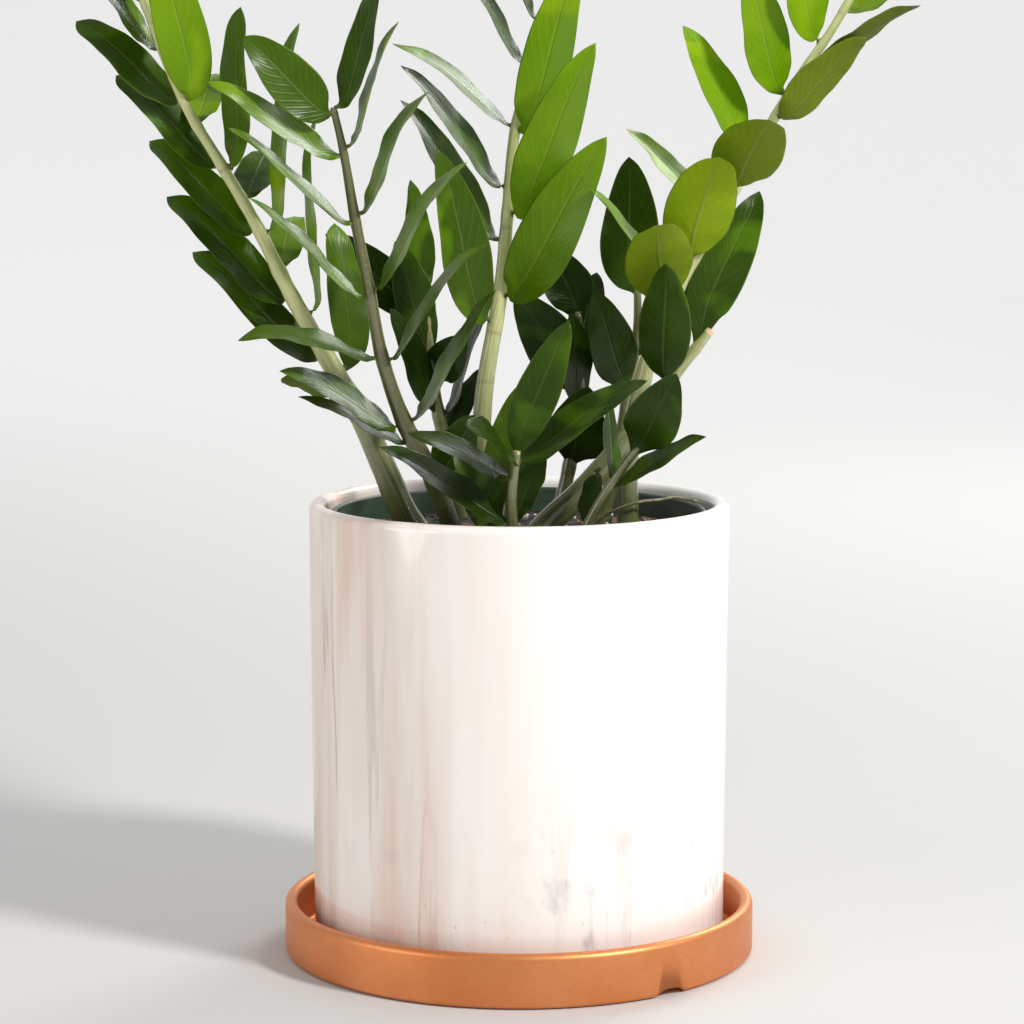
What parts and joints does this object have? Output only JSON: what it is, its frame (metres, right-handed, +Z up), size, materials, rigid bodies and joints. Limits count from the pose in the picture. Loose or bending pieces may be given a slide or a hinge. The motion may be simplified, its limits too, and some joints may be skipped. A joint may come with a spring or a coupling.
{
  "type": "potted zz plant",
  "caption": "Potted zz plant: upright fronds of glossy leaflets rooted in soil, in a plastic nursery pot inside a glazed round planter that stands on a copper saucer.",
  "frame": {"origin": "on the planter's axis at the saucer's underside, where it rests on the floor", "axes": "+Z up along the planter's axis, -Y towards the front of the plant, +X to the right seen from the front"},
  "size_m": [0.3692, 0.2008, 0.5195],
  "materials": {
    "saucer": "satin copper",
    "planter": "gloss glaze with faint grey veins",
    "nursery_pot": "satin, thin moulded plastic",
    "soil": "loose peat with bark",
    "dry_stalk": "dry and matte",
    "stem": "smooth, waxy, living stem",
    "leaflet": "glossy, waxy, living leaf"
  },
  "bodies": {
    "root": {"saucer": "saucer", "planter": "planter", "nursery_pot": "nursery_pot", "soil": "soil", "dry_stalk": "dry_stalk", "left_stem": "stem", "left_leaflet_01": "leaflet", "left_leaflet_02": "leaflet", "left_leaflet_03": "leaflet", "left_leaflet_04": "leaflet", "left_leaflet_05": "leaflet", "left_leaflet_06": "leaflet", "left_leaflet_07": "leaflet", "left_leaflet_08": "leaflet", "left_leaflet_09": "leaflet", "left_leaflet_10": "leaflet", "left_leaflet_11": "leaflet", "left_leaflet_12": "leaflet", "centre_left_stem": "stem", "centre_left_leaflet_01": "leaflet", "centre_left_leaflet_02": "leaflet", "centre_left_leaflet_03": "leaflet", "centre_left_leaflet_04": "leaflet", "centre_left_leaflet_05": "leaflet", "centre_left_leaflet_06": "leaflet", "centre_left_leaflet_07": "leaflet", "centre_left_leaflet_08": "leaflet", "centre_left_leaflet_09": "leaflet", "centre_left_leaflet_10": "leaflet", "centre_left_leaflet_11": "leaflet", "centre_left_leaflet_12": "leaflet", "centre_stem": "stem", "centre_leaflet_01": "leaflet", "centre_leaflet_02": "leaflet", "centre_leaflet_03": "leaflet", "centre_leaflet_04": "leaflet", "centre_leaflet_05": "leaflet", "centre_leaflet_06": "leaflet", "centre_leaflet_07": "leaflet", "centre_leaflet_08": "leaflet", "centre_leaflet_09": "leaflet", "right_stem": "stem", "right_leaflet_01": "leaflet", "right_leaflet_02": "leaflet", "right_leaflet_03": "leaflet", "right_leaflet_04": "leaflet", "right_leaflet_05": "leaflet", "right_leaflet_06": "leaflet", "right_leaflet_07": "leaflet", "right_leaflet_08": "leaflet", "right_leaflet_09": "leaflet", "right_leaflet_10": "leaflet", "right_leaflet_11": "leaflet", "cut_stem": "stem", "front_right_stem": "stem", "front_stem": "stem", "low_centre_stem": "stem", "back_left_stem": "stem", "back_centre_stem": "stem", "back_right_stem": "stem"}
  },
  "joints": []
}
